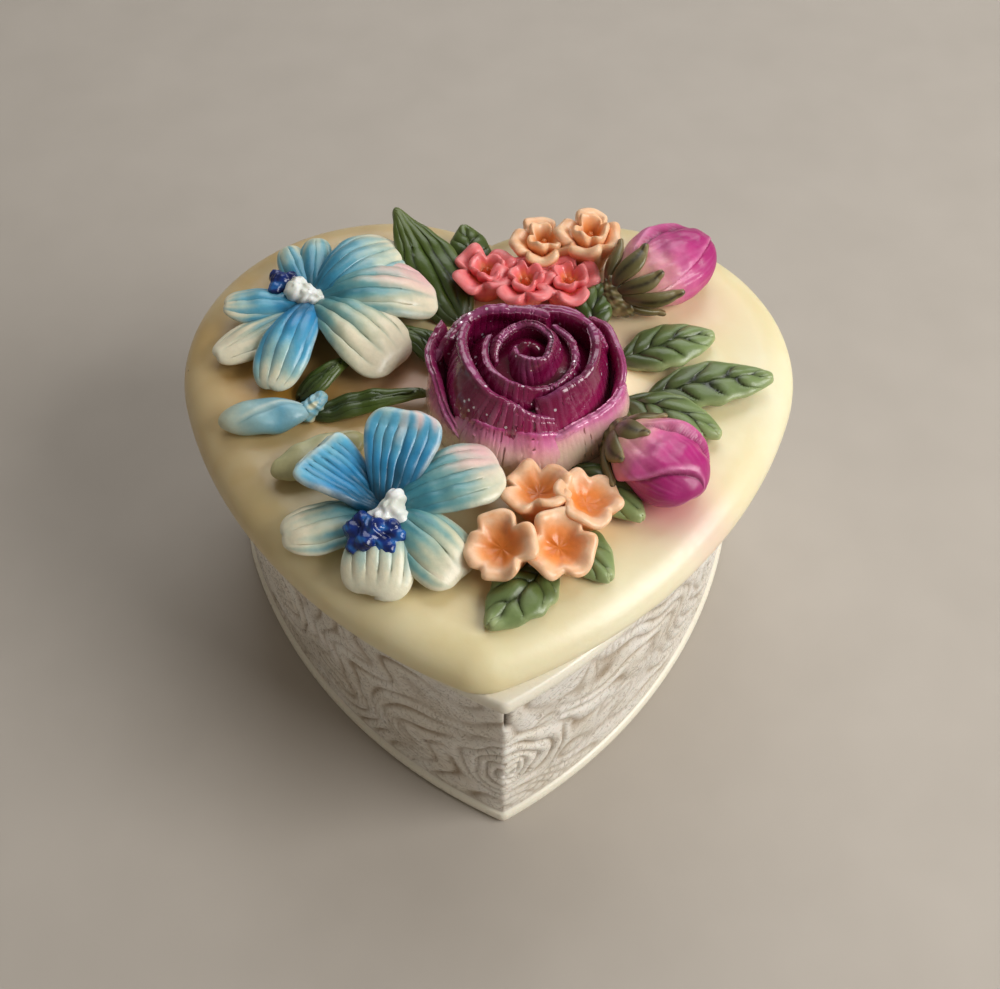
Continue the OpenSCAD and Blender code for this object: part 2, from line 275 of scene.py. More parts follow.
class Shader:
    """A material's node tree, built up in a few words."""

    def __init__(self, name):
        self.material = bpy.data.materials.new(name)
        self.material.use_nodes = True
        self.tree = self.material.node_tree
        self.skin = self.tree.nodes["Principled BSDF"]

    def put(self, socket, value):
        """Links a socket to the value if that is a socket too, or sets it."""
        if isinstance(value, bpy.types.NodeSocket):
            self.tree.links.new(value, socket)
        else:
            socket.default_value = value

    def add(self, kind, out=0, settings=None, **inputs):
        """A new node's output; inputs go by name, or by number as i0, i1 and so on."""
        node = self.tree.nodes.new(kind)
        for key, value in (settings or {}).items():
            setattr(node, key, value)
        for key, value in inputs.items():
            self.put(node.inputs[int(key[1:])] if key[1:].isdigit() else node.inputs[key], value)
        return node.outputs[out]

    def field(self, name):
        """The value that each point of the mesh carries under this name."""
        return self.add("ShaderNodeAttribute", out=2, settings={"attribute_name": name})

    def place(self):
        return self.add("ShaderNodeTexCoord", out=3)

    def noise(self, size_mm, detail, warp=0.0):
        return self.add("ShaderNodeTexNoise", Vector=self.place(), Scale=1000.0 / size_mm,
                        Detail=detail, Roughness=0.55, Distortion=warp)

    def math(self, what, a, b=0.0, clamp=False):
        return self.add("ShaderNodeMath", settings={"operation": what, "use_clamp": clamp}, i0=a, i1=b)

    def times(self, a, b):
        return self.math("MULTIPLY", a, b, clamp=True)

    def along(self, cloud, drift):
        """The place along the piece, 0 to 1, made to wander with the cloud."""
        place = self.field("along")
        wander = self.math("MULTIPLY", self.math("SUBTRACT", cloud, 0.5), drift)
        return self.math("ADD", place, wander, clamp=True)

    def fit(self, value, low, high, to_low=0.0, to_high=1.0):
        return self.add("ShaderNodeMapRange", settings={"interpolation_type": "SMOOTHSTEP"},
                        i0=value, i1=low, i2=high, i3=to_low, i4=to_high)

    def ramp(self, value, stops):
        """Screen colours along a value; each stop is a place and a colour."""
        node = self.tree.nodes.new("ShaderNodeValToRGB")
        marks = node.color_ramp.elements
        while len(marks) < len(stops):
            marks.new(0.5)
        for mark, (at, tone) in zip(marks, stops):
            mark.position = at
            mark.color = colour(*tone)
        self.put(node.inputs[0], value)
        return node.outputs[0]

    def mix(self, share, a, b, blend="MIX"):
        """From a to b by this share; each is a socket or a screen colour."""
        node = self.tree.nodes.new("ShaderNodeMix")
        node.data_type = "RGBA"
        node.blend_type = blend
        self.put(node.inputs[0], share)
        for socket, tone in ((node.inputs[6], a), (node.inputs[7], b)):
            self.put(socket, colour(*tone) if isinstance(tone, tuple) else tone)
        return node.outputs[2]

    def over(self, base, tone, field, share):
        """The base with a tone laid over it where a field is high, as far as share lets it."""
        return self.mix(self.times(self.field(field), share), base, tone)

    def bump(self, height, depth_mm, strength):
        return self.add("ShaderNodeBump", Strength=strength, Distance=depth_mm * MM, Height=height)

    def finish(self, base, rough, normal=None, coat=0.35, coat_rough=0.12, glow=0.12):
        skin = self.skin.inputs
        self.put(skin["Base Color"], base)
        self.put(skin["Roughness"], rough)
        if normal is not None:
            self.put(skin["Normal"], normal)
        skin["Coat Weight"].default_value = coat
        skin["Coat Roughness"].default_value = coat_rough
        skin["IOR"].default_value = 1.5
        skin["Subsurface Weight"].default_value = glow
        skin["Subsurface Radius"].default_value = (1.0, 0.55, 0.35)
        skin["Subsurface Scale"].default_value = 0.0012
        return self.material


def painted(name, stops, groove_tone, rim_tone, groove, rim=0.7, blotch=0.16,
            gloss=(0.3, 0.5), glow=0.12):
    """Resin painted by hand: a blend along the piece, wash in its grooves and a worn pale rim."""
    s = Shader(name)
    cloud = s.noise(2.2, detail=4)
    fine = s.noise(0.5, detail=3)
    base = s.ramp(s.along(cloud, blotch * 2), stops)
    base = s.over(base, groove_tone, "groove", s.fit(fine, 0.25, 0.6, groove * 0.55, groove))
    base = s.over(base, rim_tone, "rim", s.fit(cloud, 0.3, 0.6, rim * 0.45, rim))
    base = s.mix(0.35, base, s.fit(fine, *GRAIN), blend="MULTIPLY")
    rough = s.fit(cloud, 0.3, 0.7, *gloss)
    return s.finish(base, rough, s.bump(fine, 0.045, 0.7), coat=0.18, glow=glow)


def rose_paint():
    """Deep magenta glazed petals that fade to pink and cream at the foot, with silver glitter, a painted
    highlight along the rims and painted shade deep between the inner petals.
    """
    s = Shader("rose_paint_shaded")
    cloud = s.noise(3.0, detail=4)
    fine = s.noise(0.45, detail=3)
    along = s.along(cloud, 0.2)
    base = s.ramp(along, [(0.0, (248, 224, 198)), (0.16, (244, 192, 190)), (0.3, (228, 132, 178)),
                          (0.44, (186, 54, 124)), (0.6, (140, 16, 76)), (1.0, (110, 8, 56))])
    streak_tone = s.mix(along, (240, 196, 196), (172, 74, 132))
    base = s.over(base, streak_tone, "ridge", s.fit(cloud, 0.35, 0.65, 0.1, 0.5))
    # Painted highlight: a pale lilac line along each petal's rim, where light catches its edge.
    base = s.over(base, (178, 96, 148), "rim", s.fit(cloud, 0.35, 0.65, 0.1, 0.55))
    # Painted shade: near-black magenta at the foot of the inner petals and over the heart fill, deep in the
    # rose where shade falls.
    base = s.over(base, (84, 2, 32), "groove", 0.85)
    cells = {"Vector": s.place(), "Scale": 1000.0 / GLITTER_MM}
    near_middle = s.math("LESS_THAN", s.add("ShaderNodeTexVoronoi", **cells), 0.34)
    chance = s.add("ShaderNodeSeparateColor", i0=s.add("ShaderNodeTexVoronoi", out=1, **cells))
    flake = s.math("MULTIPLY", near_middle, s.math("GREATER_THAN", chance, 0.94))
    flake = s.math("MULTIPLY", flake, s.fit(along, 0.4, 0.7))
    base = s.mix(flake, base, (255, 240, 252))
    s.put(s.skin.inputs["Metallic"], s.math("MULTIPLY", flake, 0.5))
    rough = s.fit(fine, 0.3, 0.7, 0.14, 0.3)
    return s.finish(base, rough, s.bump(fine, 0.05, 0.7), coat=0.7, coat_rough=0.08, glow=0.04)


def lily_paint():
    """Petals brushed sky blue or teal at the base, with cream or blushing tips and dark grooves."""
    s = Shader("lily_paint_shaded")
    cloud = s.noise(2.4, detail=4)
    fine = s.noise(0.5, detail=3)
    along = s.along(cloud, 0.34)
    sky = s.ramp(along, [(0.0, (14, 78, 108)), (0.3, (38, 134, 186)), (0.6, (84, 170, 204)),
                         (0.84, (164, 202, 198)), (1.0, (226, 224, 196))])
    teal = s.ramp(along, [(0.0, (28, 78, 84)), (0.35, (64, 132, 142)), (0.56, (116, 164, 160)),
                          (0.8, (196, 200, 172)), (1.0, (236, 226, 198))])
    base = s.mix(s.field("tint"), sky, teal)
    base = s.over(base, (236, 184, 186), "blush", s.fit(along, 0.5, 0.95))
    groove_tone = s.mix(along, (22, 92, 116), (164, 184, 166))
    base = s.over(base, groove_tone, "groove", s.fit(fine, 0.25, 0.6, 0.5, 0.85))
    base = s.over(base, (238, 236, 214), "rim", s.fit(cloud, 0.3, 0.6, 0.15, 0.6))
    base = s.mix(0.3, base, s.fit(fine, *GRAIN), blend="MULTIPLY")
    rough = s.fit(cloud, 0.3, 0.7, 0.28, 0.46)
    return s.finish(base, rough, s.bump(fine, 0.045, 0.7), coat=0.2, glow=0.08)


def lid_paint():
    """Ivory varnish with ochre and pink airbrushed shade, a pale painted highlight along the right edges and
    a few small dark specks.
    """
    s = Shader("ivory_lid")
    cloud = s.noise(9.0, detail=3)
    fine = s.noise(0.7, detail=4)
    base = s.mix(s.fit(cloud, 0.35, 0.65), (240, 229, 186), (233, 218, 168))
    base = s.over(base, (172, 124, 44), "ochre", s.fit(cloud, 0.2, 0.8, 0.75, 1.0))
    base = s.mix(s.field("pink"), base, (218, 130, 138))
    # Painted highlight: near-white along the lid's right and right-front edges, from the pale field.
    base = s.mix(s.field("pale"), base, (243, 238, 214))
    specks = s.add("ShaderNodeTexVoronoi", Vector=s.place(), Scale=1000.0 / SPECK_APART_MM)
    base = s.mix(s.times(s.math("LESS_THAN", specks, 0.028), 0.55), base, (92, 78, 52))
    rough = s.fit(fine, 0.3, 0.7, 0.3, 0.42)
    return s.finish(base, rough, s.bump(fine, 0.03, 0.5), coat=0.15, coat_rough=0.25, glow=0.2)


def body_paint():
    """Ivory resin whose carved lines hold a grey-brown wash, worn back to ivory on the high spots."""
    s = Shader("antiqued_body")
    cloud = s.noise(6.0, detail=5)
    fine = s.noise(0.6, detail=4)
    vein = s.noise(2.4, detail=4, warp=1.6)
    base = s.mix(s.fit(cloud, 0.3, 0.7), (248, 245, 238), (237, 231, 218))
    base = s.over(base, (178, 158, 126), "wall", s.fit(fine, 0.2, 0.8, 0.0, 0.16))
    hairline = s.math("LESS_THAN", s.math("ABSOLUTE", s.math("SUBTRACT", vein, 0.5)), 0.012)
    base = s.over(base, (120, 98, 70), "wall", s.times(hairline, 0.5))
    base = s.over(base, (142, 116, 80), "carved", s.fit(cloud, 0.3, 0.62, 0.45, 1.0))
    base = s.mix(s.field("pit"), base, (70, 50, 30))
    base = s.mix(s.field("rim"), base, (238, 232, 214))
    rough = s.fit(fine, 0.3, 0.7, 0.24, 0.42)
    return s.finish(base, rough, s.bump(fine, 0.04, 0.6), coat=0.25, coat_rough=0.18, glow=0.1)


# ---------------------------------------------------------------- hearts

def half_heart(w, lobe_r, side_r, side_dir, tip_r, grow, counts):
    """Right half of a heart's outline from its notch to its tip, as an array of x and y."""
    lobe = np.array([w / 2 - lobe_r, LOBE_Y])
    way = np.array([math.cos(math.radians(side_dir)), math.sin(math.radians(side_dir))])
    side = lobe - (side_r - lobe_r) * way
    notch = math.pi - math.acos(min(1, lobe[0] / (lobe_r + grow)))
    tip = np.array([0, side[1] - math.sqrt((side_r - tip_r) ** 2 - side[0] ** 2)])
    tip_dir = math.atan2(tip[1] - side[1], -side[0])
    start = math.radians(side_dir)

    def arc(c, r, a0, a1, n, last=False):
        a = np.linspace(a0, a1, n, endpoint=last)
        return np.stack([c[0] + r * np.cos(a), c[1] + r * np.sin(a)], axis=1)
    return np.concatenate([arc(lobe, lobe_r + grow, notch, start, counts[0]),
                           arc(side, side_r + grow, start, tip_dir, counts[1]),
                           arc(tip, tip_r + grow, tip_dir, -math.pi / 2, counts[2], last=True)])


def heart(half):
    """The closed outline, from the tip round the right side and back along the left."""
    right = half[::-1]
    left = half[1:-1].copy()
    left[:, 0] *= -1
    return np.concatenate([right, left])


def body_outline(grow, tip_r, counts):
    return heart(half_heart(BODY_W, BODY_LOBE_R, BODY_SIDE_R, BODY_SIDE_DIR, tip_r, grow, counts))


def lid_outline(grow):
    return heart(half_heart(LID_W, LID_LOBE_R, LID_SIDE_R, LID_SIDE_DIR, LID_TIP_R, grow, LID_COUNTS))


def at_height(outline, z):
    return np.concatenate([outline, np.full((len(outline), 1), z)], axis=1)


# ---------------------------------------------------------------- pieces

def puffs(phase, crease=0.16):
    """Rounded swells with a narrow crease at each whole number of phase: height and crease depth."""
    near = np.abs(phase - np.round(phase))
    return np.sqrt(np.clip(2 * near, 0, 1)), np.exp(-(near / crease) ** 2)


def carving(s, z):
    """Height of the carved wall and depth of its creases, s along it from the front corner and z up."""
    warp = 0.85 * wave(s, z, 24, 11) + 0.4 * wave(s, z, 10, 12)
    swell, crease = puffs(z * 0.2 + 0.2 * np.abs(s) + 1.2 * warp)
    _, hairs = puffs(z * 0.55 - 0.6 * np.abs(s) + 2.2 * wave(s, z, 15, 13), 0.14)
    plain = smooth(wave(s, z, 17, 14), -0.9, 0.7)
    crease = np.maximum(crease * (0.35 + 0.65 * plain), 0.75 * hairs * (1 - plain * 0.8))
    height = 0.8 * swell * (0.4 + 0.6 * plain) - 0.3 * crease
    for centre, tall, size in SCROLLS:
        ds, dz = s - centre, (z - tall) * 1.02
        r = np.sqrt(ds ** 2 + dz ** 2) + 0.35 * wave(s, z, 6, 21)
        a = np.arctan2(dz, ds)
        ripple = 0.17 * np.sin(3 * a + r)
        turns = r / (1.0 + 0.07 * r) - a / (2 * math.pi) + ripple + 0.1 * np.sin(5 * a - 0.5 * r)
        petal_swell, petal_crease = puffs(turns, 0.13)
        share = 1 - smooth(r, size * 0.82, size)
        height = height * (1 - share) + (petal_swell + 0.5 * (1 - r / size) - 0.35 * petal_crease) * share
        crease = crease * (1 - share) + petal_crease * share
    return height - 0.45, crease


def box_body():
    """The heart cup: rounded plain rims, carved wall, plain inside."""
    base = body_outline(0.0, SHARP_TIP_R, BODY_COUNTS)
    step = np.linalg.norm(np.diff(base, axis=0, append=base[:1]), axis=1)
    s = np.concatenate([[0], np.cumsum(step)[:-1]])
    s = np.where(s > step.sum() / 2, s - step.sum(), s)
    outward = np.stack([np.gradient(base[:, 1]), -np.gradient(base[:, 0])], axis=1)
    outward /= np.linalg.norm(outward, axis=1, keepdims=True)
    rows = []

    def ring(grow, z, rim, tip=CAVITY_TIP_R):
        rows.append((at_height(body_outline(grow, tip, BODY_COUNTS), z), {"rim": rim}))

    for turn in np.linspace(-90, 90, 9):
        t = math.radians(turn)
        ring(BASE_RIM_OUT - 0.5 + 0.5 * math.cos(t), BASE_RIM_H / 2 * (1 + math.sin(t)), 1.0, SHARP_TIP_R)
    wall_low, wall_high = BASE_RIM_H + 0.15, BODY_H - TOP_RIM_H - 0.1
    for z in np.linspace(wall_low, wall_high, 104):
        inside = min(smooth(z, wall_low, wall_low + 1.0), 1 - smooth(z, wall_high - 0.8, wall_high))
        level = np.full(len(s), z)
        cut, crease = carving(s, level)
        pits = np.maximum(0, wave(s, level, 3.2, 31) * wave(s, level, 9, 32) - 2.4) * inside
        nick = ridge(s, 0.2, 0.34) * smooth(z, NICK_LOW, NICK_LOW + 0.6) * inside
        push = CARVING_DEPTH * cut * inside - PIT_DEPTH * np.minimum(pits, 1) - NICK_DEPTH * nick
        carved = np.clip(0.7 * crease + 0.2 * smooth(-cut, 0.0, 0.6), 0, 1) * inside + 0.4 * (1 - inside)
        rows.append((at_height(base + outward * push[:, None], z),
                     {"wall": 1.0, "carved": carved, "pit": np.minimum(1, pits * 1.5 + nick)}))
    for turn in np.linspace(-90, 90, 9):
        t = math.radians(turn)
        z = BODY_H - TOP_RIM_H / 2 + TOP_RIM_H / 2 * math.sin(t)
        ring(RIM_OUT - 0.6 + 0.6 * math.cos(t), z, 1.0, SHARP_TIP_R)
    ring(-WALL_T + 0.3, BODY_H, 1.0)
    ring(-WALL_T, BODY_H - 0.3, 1.0)
    for z in np.linspace(BODY_H - 1.5, FLOOR_T + FLOOR_FILLET, 16):
        ring(-WALL_T + 0.06 * math.sin(z), z, 0.6)
    for turn in (20, 45, 70, 90):
        t = math.radians(turn)
        narrowing = FLOOR_FILLET * (1 - math.cos(t))
        z = FLOOR_T + FLOOR_FILLET * (1 - math.sin(t))
        ring(-WALL_T - narrowing, z, 0.5, CAVITY_TIP_R + narrowing)
    rings = np.stack([points for points, _ in rows])
    fields = {k: np.stack([np.broadcast_to(f.get(k, 0.0), len(s)) for _, f in rows])
              for k in ("rim", "wall", "carved", "pit")}
    part = loops(rings, **fields)
    make("carved_box_body", part, body_paint(), "box", "box_body", WELD_WALL)


def lid_shades(x, y):
    """Where the lid's paint is ochre or pink, and where a pale painted highlight lies along its right edges,
    at points in the lid's own position.
    """
    def spot(cx, cy, rx, ry, turn=0.0):
        t = math.radians(turn)
        dx, dy = x - cx, y - cy
        u = dx * math.cos(t) + dy * math.sin(t)
        v = -dx * math.sin(t) + dy * math.cos(t)
        return np.exp(-(u / rx) ** 2 - (v / ry) ** 2)
    ochre = (0.75 * spot(-30, 12, 12, 20) + 0.75 * spot(-16, 3, 12, 8) + 0.3 * spot(-24, -10, 12, 10)
             + 0.2 * spot(-12, -24, 10, 6) + 0.2 * spot(4, -24, 9, 5) + 0.6 * spot(-12, 30, 16, 7)
             + 0.35 * spot(2, -14, 12, 7) + 0.3 * spot(14, 30, 12, 6))
    pink = (0.75 * spot(21, -14, 9, 4, -30) + 0.45 * spot(17, -7, 6, 7) + 0.2 * spot(26, 16, 5, 4, 40)
            + 0.2 * spot(16, 12, 5, 5) + 0.35 * spot(-8, 4, 6, 6))
    # Painted highlight: a pale band along the lid's right-front edge and another along its right edge.
    pale = 0.6 * spot(20, -22, 20, 4, 45) + 0.5 * spot(34, 2, 4, 12)
    return {"ochre": np.clip(ochre, 0, 1), "pink": np.clip(pink, 0, 1), "pale": pale}


def lid_plate():
    """The slab with a hand-cast, softly uneven top and edge, and the lip underneath."""
    lip = -WALL_T - LIP_GAP
    inner = lip - LIP_T
    foot = LID_Z - LIP_H
    rows = [at_height(body_outline(grow, CAVITY_TIP_R, LID_COUNTS), z)
            for grow, z in ((inner, LID_Z), (inner, foot + 0.4), (inner + 0.4, foot),
                            (lip - 0.5, foot), (lip, foot + 0.5), (lip, LID_Z))]
    for turn in (-90, -60, -30, 0):
        t = math.radians(turn)
        outline = lid_outline(-EDGE_LOW + EDGE_LOW * math.cos(t))
        rows.append(at_height(outline, LID_Z + EDGE_LOW + EDGE_LOW * math.sin(t)))
    for turn in (10, 20, 30, 40, 50, 60, 70, 80, 88):
        t = math.radians(turn)
        outline = lid_outline(-EDGE_IN + EDGE_IN * math.cos(t))
        rows.append(at_height(outline, LID_Z + EDGE_LOW + EDGE_RISE * math.sin(t)))
    flat = lid_outline(-EDGE_IN)
    middle = np.array([0.0, 2.0])
    for share in np.linspace(0.05, 0.98, 40):
        rows.append(at_height(flat + (middle - flat) * share, LID_TOP))
    rings = np.stack(rows)
    x, y, z = rings[..., 0], rings[..., 1], rings[..., 2]
    top = smooth(z, LID_Z + 1.5, LID_TOP)
    z -= top * (0.09 + 0.09 * wave(x, y, 20, 5))
    part = loops(rings, **lid_shades(x, y))
    make("ivory_heart_lid", with_lid(part), lid_paint(), "lid", "lid_plate", WELD_WALL)


# ---------------------------------------------------------------- leaves and petals

def blade_width(u, width, base_power, tip_power):
    """Half width along a blade; a high power gives a point, a low one a round end."""
    peak = base_power / (base_power + tip_power)
    shape = (u ** base_power) * ((1 - u) ** tip_power)
    return width / 2 * shape / ((peak ** base_power) * ((1 - peak) ** tip_power))


def blade_grid(length, width, base_power, tip_power, nu, nv, root):
    """A flat blade along +X, its root this much wider: grids of u, v, x and y."""
    u = eased(nu, 0.8)[:, None] * np.ones(nv)
    v = np.sin(np.linspace(-1, 1, nv) * math.pi / 2)[None, :] * np.ones((nu, 1))
    half = blade_width(u, width, base_power, tip_power) + root * (1 - u) ** 4
    return u, v, u * length, v * half


def leaf(length, width, arch, rise, seed, veins, lengthwise):
    """A leaf with a sunk midrib, swells between its painted veins and a slightly wavy edge."""
    base, tip, depth = (0.6, 1.15, 0.05) if lengthwise else (0.75, 0.92, 0.1)
    u, v, x, y = blade_grid(length, width, base, tip, 70, 49, root=0.35)
    side = np.abs(v)
    drift = 0.2 * wave(u * 6, v * 1.5, 3.0, seed + 2)
    fade = smooth(u, 0.03, 0.12) * (1 - smooth(u, 0.82, 0.97))
    if lengthwise:
        vein = sum(ridge(v + drift * 0.5, c, 0.06) for c in (-0.66, -0.34, 0.36, 0.68)) * fade
        swell = np.sqrt(np.abs(np.sin(3 * math.pi * (v + drift * 0.5))))
    else:
        phase = u * veins - side * 1.1 + drift + 0.5 + 0.4 * (v > 0)
        near = np.abs(phase - np.round(phase))
        vein = np.exp(-(near / (0.2 * (1.2 - side))) ** 2) * fade
        vein = vein * smooth(side, 0.05, 0.15) * (1 - smooth(side, 0.62, 0.9))
        swell = np.sqrt(np.clip(2 * near, 0, 1)) * (1 - side ** 6)
    midrib = ridge(v * width / 2, 0.0, 0.36) * (1 - smooth(u, 0.9, 1.0))
    y = y * (1 + 0.05 * np.sin(u * veins * 2 * math.pi + 1.0) * side ** 3)
    z = arch * np.sin(math.pi * u) + rise * u
    z = z + depth * (1.0 * swell - 2.2 * vein) - 0.4 * midrib
    z = z - 0.7 * side ** 2.5 + 0.12 * wave(x, y, 4.0, seed)
    x = x + 0.1 * wave(x, y, 5.0, seed + 1) * u
    full = rounded(side, 16) * rounded(u, 50)
    groove = np.clip(1.3 * vein + midrib, 0, 1)
    rim = np.maximum(smooth(side, 0.7, 1.0), smooth(u, 0.84, 1.0)) * (1 - groove)
    return sheet(np.stack([x, y, z], axis=2), 1.0, full, along=u, groove=groove, rim=rim)


def petal(length, width, arch, rise, seed, ribs=4, cup=0.9, tip=0.42, droop=0.0, curl=0.0,
          shade=0.0, tint=0.0, blush=0.0, point=0.0):
    """A lily petal: full, ribbed lengthwise, its edges turned down and its tip round or pointed."""
    u, v, x, y = blade_grid(length, width, 0.85, tip, 60, 61, root=1.0)
    side = np.abs(v)
    x = x + point * ridge(v, 0.5, 0.8) * u ** 4
    lines = np.linspace(-0.74, 0.74, ribs)
    wobble = 0.05 * np.sin(4 * u + seed) - 0.03
    reach = smooth(u, 0.04, 0.2) * (1 - smooth(u, 0.6 if tint > 0 else 0.8, 0.98))
    groove = sum(ridge(v + wobble * (1 - side), c * (1 - 0.15 * u), 0.06) for c in lines) * reach
    swell = sum(ridge(v + wobble, c, 0.5 / ribs) for c in (lines[:-1] + lines[1:]) / 2) * reach
    z = arch * np.sin(math.pi * u ** 0.85) + rise * u - droop * u ** 4
    z = z - cup * v ** 2 * (0.35 + np.sin(math.pi * u) ** 0.6) - 0.26 * groove + 0.1 * swell
    z = z + curl * v * np.sin(math.pi * u) + 0.08 * wave(x, y, 3.5, seed)
    full = rounded(side, 12) * rounded(u, 40)
    rim = np.maximum(smooth(side, 0.82, 1.0) * smooth(u, 0.2, 0.6), smooth(u, 0.9, 1.0))
    streak = 0.12 * wave(v * 6, u * 1.5, 2.2, seed + 5)
    blushing = abs(blush) * smooth(v * (1 if blush > 0 else -1), -0.6, 0.6)
    return sheet(np.stack([x, y, z], axis=2), 1.15, full, along=np.clip(u + shade + streak, 0, 1),
                 groove=groove, rim=rim, tint=tint, blush=blushing)


def bud_swell(t):
    """Radius of a bud along its length, as a share of its greatest."""
    return (t ** 0.5) * ((1 - t) ** 0.55) / BUD_PEAK + 0.02


def sepal(size, around, spread, reach):
    """A narrow pointed leaf that hugs a bud of this length, width and height from its base."""
    length, width, height = size
    u = eased(40)[:, None] * np.ones(21)
    v = np.linspace(-1, 1, 21)[None, :] * np.ones((40, 1))
    t = 0.005 + reach * u
    half = spread * (u + 0.25) ** 0.5 * (1 - u) ** 0.9
    a = np.radians(around + half * v + 8 * np.sin(3 * u))
    r = bud_swell(t) + 0.13 - 0.05 * v ** 2 + 0.1 * smooth(u, 0.8, 1.0)
    x = t * length - 0.9 + 0.3 * u
    y = r * width / 2 * np.cos(a)
    z = height / 2 + r * height / 2 * np.sin(a)
    full = rounded(np.abs(v), 6) * rounded(u, 20)
    groove = ridge(v, 0.0, 0.22) * smooth(u, 0.0, 0.2)
    rim = smooth(np.abs(v), 0.7, 1.0)
    return sheet(np.stack([x, y, z], axis=2), 0.9, full, along=u, groove=groove, rim=rim)


def bud(length, width, height, seed, folds, twist=0.8, depth=0.35, streaks=0.0):
    """A closed bud of wrapped petals: pointed, with spiral overlaps and fine lengthwise streaks."""
    rows, cols = 80, 150
    t = eased(rows)[:, None] * np.ones(cols)
    a = np.linspace(0, 2 * math.pi, cols, endpoint=False)[None, :] * np.ones((rows, 1))
    swell = bud_swell(t)
    phase = (a / (2 * math.pi) * folds + t * twist + 0.05 * np.sin(5 * t + seed)) % 1.0
    step = smooth(phase, 0.0, 0.9) - smooth(phase, 0.94, 1.0)
    lip = ridge(phase, 0.91, 0.045) * smooth(t, 0.15, 0.4)
    gap = (ridge(phase, 0.99, 0.03) + ridge(phase, -0.01, 0.03)) * smooth(t, 0.1, 0.35)
    line = np.clip(np.sin(34 * a + 3 * np.sin(3 * t + a)) * 0.6 + np.sin(21 * a + 2.0) * 0.5, 0, 1) * streaks
    line = line * smooth(t, 0.03, 0.2) * (1 - smooth(t, 0.7, 0.95))
    r = swell * (1 + depth * 0.28 * (step - 0.5) * smooth(t, 0.1, 0.5) - 0.07 * gap) - 0.012 * line
    x = t * length
    y = r * width / 2 * np.cos(a)
    z = height / 2 + r * height / 2 * np.sin(a)
    rings = np.stack([x, y, z + 0.12 * wave(x, y, 3.2, seed)], axis=2)
    return loops(rings, along=t, groove=gap, rim=np.clip(lip + 0.35 * line, 0, 1))


def rose_petal(a0, a1, seed, thick, bulge, curl, foot, low, pale, *path):
    """A rose petal from direction a0 to a1, its foot's radius there, its lowest height and how pale it is.

    The path has one (share of the way, rim radius, rim height) for each point along the rim.
    """
    ns, nt = int(abs(a1 - a0) * 1.3), 40
    s = np.linspace(0, 1, ns)[:, None] * np.ones(nt)
    t = (1 - (1 - np.linspace(0, 1, nt)) ** 1.5)[None, :] * np.ones((ns, 1))
    share, radius, height = (np.array(c, dtype=float) for c in zip(*path))
    a = np.radians(a0 + (a1 - a0) * s)

    def along_path(values):
        dense = np.interp(s[:, 0], share, values)
        reach = max(3, ns // 10)
        kernel = np.hanning(2 * reach + 1)
        padded = np.pad(dense, reach, mode="edge")
        return np.convolve(padded, kernel / kernel.sum(), mode="valid")[:, None] * np.ones(nt)
    rim_r, rim_z = along_path(radius), along_path(height)
    foot_r = foot[0] + (foot[1] - foot[0]) * s
    arc = np.abs(np.radians(a1 - a0)) * rim_r * s
    rim_z = rim_z + 0.16 * wave(arc, t * 0, 6, seed) + 0.07 * wave(arc, t * 0, 1.6, seed + 7)
    r = foot_r + (rim_r - foot_r) * t ** 1.15 + bulge * np.sin(math.pi * t ** 0.85)
    r = r + curl * smooth(t, 0.78, 1.0) ** 1.5
    z = low + (rim_z - low) * (t - 0.05 * smooth(t, 0.9, 1.0))
    wrinkle = np.sin(arc * 2 * math.pi / 0.85 + 2.2 * wave(arc, t * 5, 6, seed))
    fine = np.sin(arc * 2 * math.pi / 0.5 + 2.5 * wave(arc, t * 4, 4, seed + 3))
    patchy = 0.4 + 0.6 * smooth(wave(arc, t * 3, 5, seed + 9), -0.6, 0.8)
    mark = np.clip(0.6 * wrinkle + 0.5 * fine, 0, 1) * smooth(t, 0.1, 0.4) * patchy
    r = r + 0.09 * mark + 0.16 * wave(arc, t * 8, 7, seed + 1)
    points = np.stack([r * np.cos(a), r * np.sin(a), z], axis=2)
    full = (0.62 + 0.55 * (1 - t) ** 0.8) * rounded(t, 22) * rounded(np.abs(2 * s - 1), 20)
    tone = np.clip((z + 0.6) / 10.0 - pale, 0, 1)
    # Painted shade at the foot of each inner petal, deep in the rose, passed to the paint as groove.
    dark = ridge(t, 0.1, 0.16) * (low > 0)
    # rim carries the painted highlight along the petal's edge, and groove the painted shade at the foot.
    fields = {"along": tone, "ridge": mark, "rim": ridge(t, 1.0, 0.06), "groove": dark}
    return sheet(points[:, ::-1], thick, full[:, ::-1], **{k: f[:, ::-1] for k, f in fields.items()})


def rose_heart_fill(profile):
    """The solid middle under the petals, so that no gap shows through, coloured dark as painted shade.
    profile lists radius and height.
    """
    a = np.linspace(0, 2 * math.pi, 72, endpoint=False)
    front = 0.14 * ridge(np.sin(a), -1.0, 0.5)
    rings = [np.stack([r * np.cos(a), r * np.sin(a), z * (1 - front) + 0.1 * np.sin(3 * a + r)], axis=1)
             for r, z in profile]
    # Painted shade: the fill takes the deep magenta and most of the groove's near-black, like the rose's
    # hollow middle in shadow.
    return loops(np.stack(rings), along=0.85, groove=0.8)


